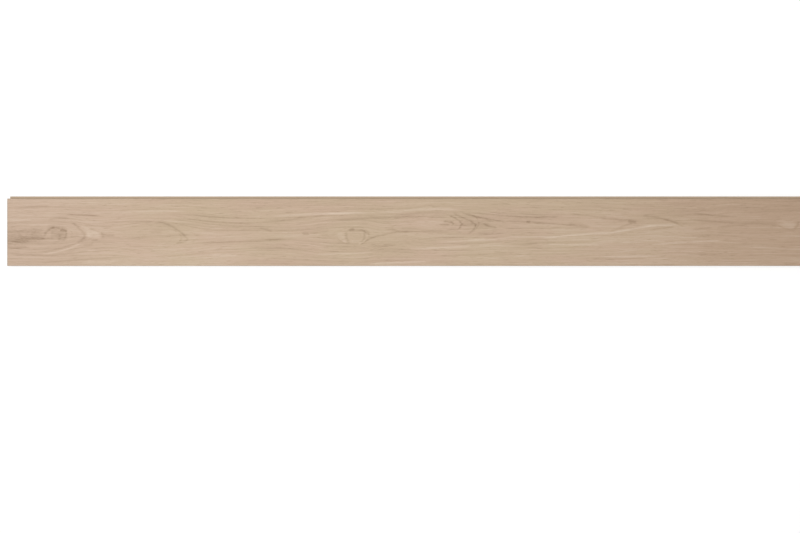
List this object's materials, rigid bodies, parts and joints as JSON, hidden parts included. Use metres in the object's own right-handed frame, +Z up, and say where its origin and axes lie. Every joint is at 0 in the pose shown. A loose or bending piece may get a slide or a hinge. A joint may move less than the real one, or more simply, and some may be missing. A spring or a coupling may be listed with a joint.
{
  "type": "wide plank floorboard",
  "caption": "Wide solid oak floorboard with a bevelled face, a tongue and a groove on its long edges and its ends, and relief kerfs along its back.",
  "frame": {"origin": "bottom centre of the whole board, tongues included, on the plane of its back", "axes": "+X along the board towards the end with the tongue, +Y across it towards the edge with the tongue, +Z up through the face"},
  "size_m": [2.206, 0.186, 0.02],
  "materials": {
    "oak": "matte oiled face, bare milled edges and back"
  },
  "bodies": {
    "root": {"floorboard": "oak"}
  },
  "joints": []
}
